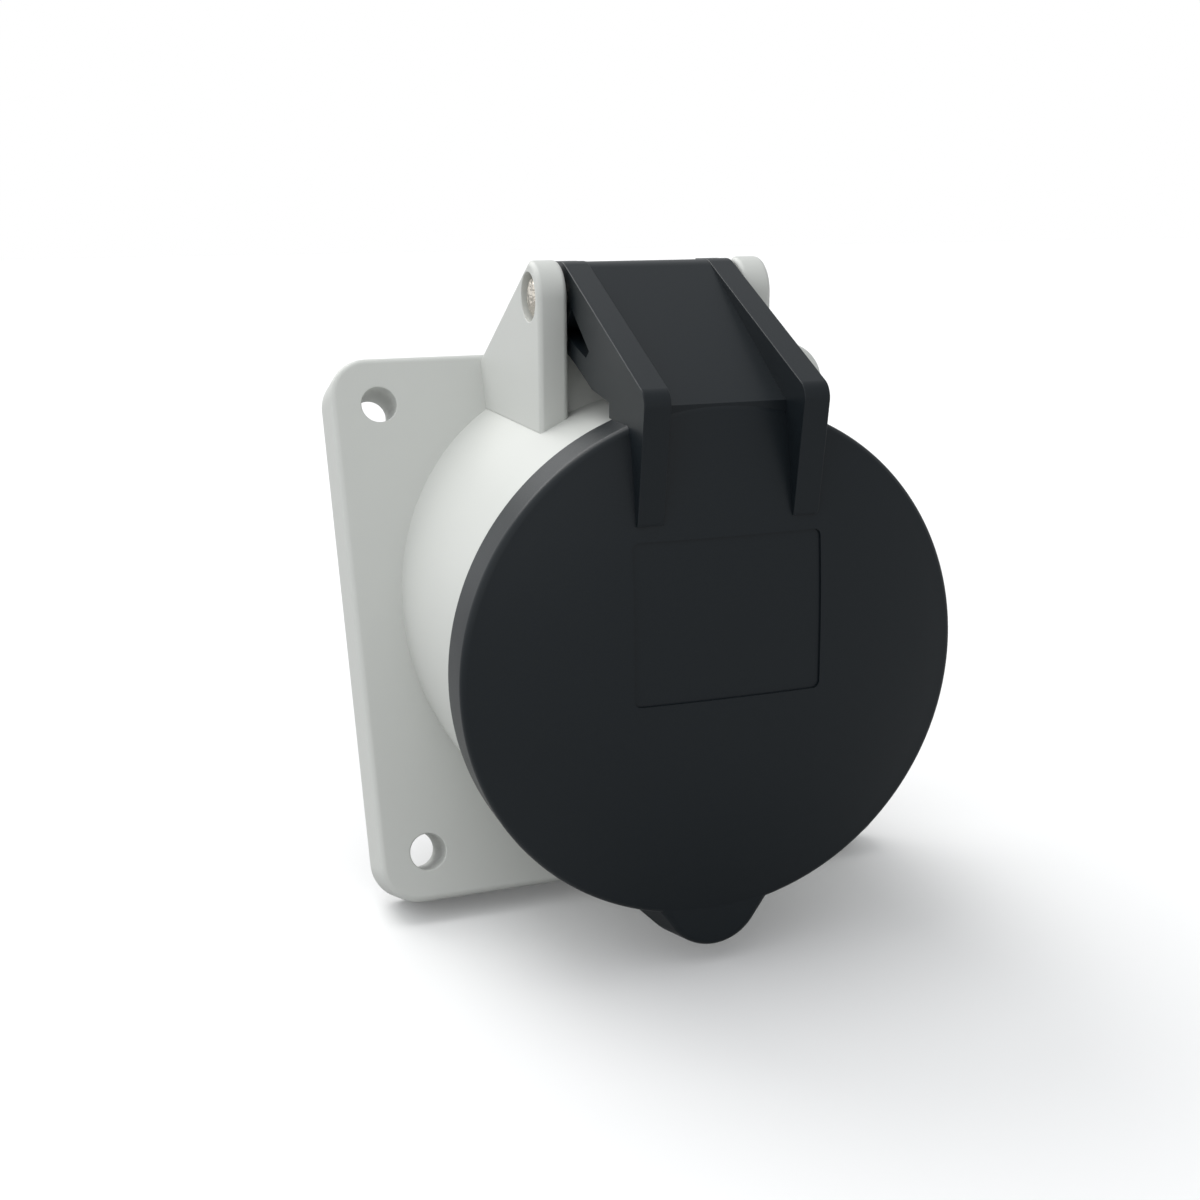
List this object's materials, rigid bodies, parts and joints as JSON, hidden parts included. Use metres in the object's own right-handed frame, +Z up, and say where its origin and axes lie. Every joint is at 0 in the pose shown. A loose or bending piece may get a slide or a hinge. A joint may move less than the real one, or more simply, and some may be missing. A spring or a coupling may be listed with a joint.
{
  "type": "industrial panel socket",
  "caption": "Angled panel socket outlet with a square flange, a round collar and a black sprung lid that covers the contacts.",
  "frame": {"origin": "centre of the fixing holes, on the flange's back face", "axes": "+Y out of the flange's back into the panel, the socket faces -Y and down, +Z up towards the hinge"},
  "size_m": [0.085, 0.0863, 0.1006],
  "materials": {
    "grey_plastic": "satin",
    "black_plastic": "satin",
    "insulator": "matte",
    "steel": "satin",
    "brass": "satin",
    "rubber": "matte"
  },
  "bodies": {
    "socket_body": {"housing": "grey_plastic", "hinge_pin": "steel", "pin_cap": "steel", "lid_spring": "steel", "contact_carrier": "insulator", "terminal_block": "insulator", "contact_1": "brass", "contact_2": "brass", "contact_3": "brass", "contact_neutral": "brass", "contact_earth": "brass", "sleeve_spring_1": "steel", "sleeve_spring_2": "steel", "sleeve_spring_3": "steel", "sleeve_spring_neutral": "steel", "sleeve_spring_earth": "steel", "terminal_screw_1": "steel", "terminal_screw_2": "steel", "terminal_screw_3": "steel", "terminal_screw_neutral": "steel", "terminal_screw_earth": "steel", "carrier_screws": "steel", "flange_seal": "rubber"},
    "lid_body": {"lid": "black_plastic", "lid_seal": "rubber"}
  },
  "joints": [
    {"name": "lid_hinge", "type": "hinge", "parent": "socket_body", "child": "lid_body", "pos_m": [0, -0.03978, 0.04277], "axis": [-1, 0, 0], "range_deg": [0, 110], "stiffness_Nm_per_rad": 0.08, "springref_deg": -45.84, "deforming": ["lid_spring"]}
  ]
}
